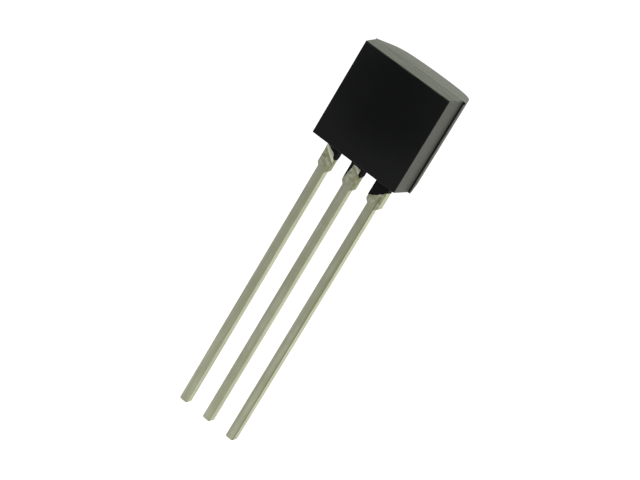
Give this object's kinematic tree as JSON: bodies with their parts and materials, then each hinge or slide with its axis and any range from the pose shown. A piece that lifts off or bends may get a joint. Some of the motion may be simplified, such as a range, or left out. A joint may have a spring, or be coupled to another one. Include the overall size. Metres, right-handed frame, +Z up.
{
  "type": "to-92 transistor",
  "caption": "Small-signal transistor in a moulded half-round plastic package, with a bare flat front and straight square leads in a row.",
  "frame": {"origin": "on the middle lead's axis, level with the lowest line of the body's underside", "axes": "+Z up along the leads towards the top of the body, -Y out of the flat front, +X towards the right lead as the flat front is seen"},
  "size_m": [0.0045, 0.0032, 0.017],
  "materials": {
    "moulding_compound": "black epoxy moulding compound, fine matt grain from the mould",
    "tinned_lead": "dull tin plating with fine lengthwise marks",
    "silicon": "polished grey",
    "silver_epoxy": "silver-filled adhesive",
    "gold_wire": "bright drawn gold"
  },
  "bodies": {
    "root": {"moulded_body": "moulding_compound", "left_lead": "tinned_lead", "middle_lead": "tinned_lead", "right_lead": "tinned_lead", "silicon_chip": "silicon", "chip_attach": "silver_epoxy", "emitter_wire": "gold_wire", "base_wire": "gold_wire"}
  },
  "joints": []
}
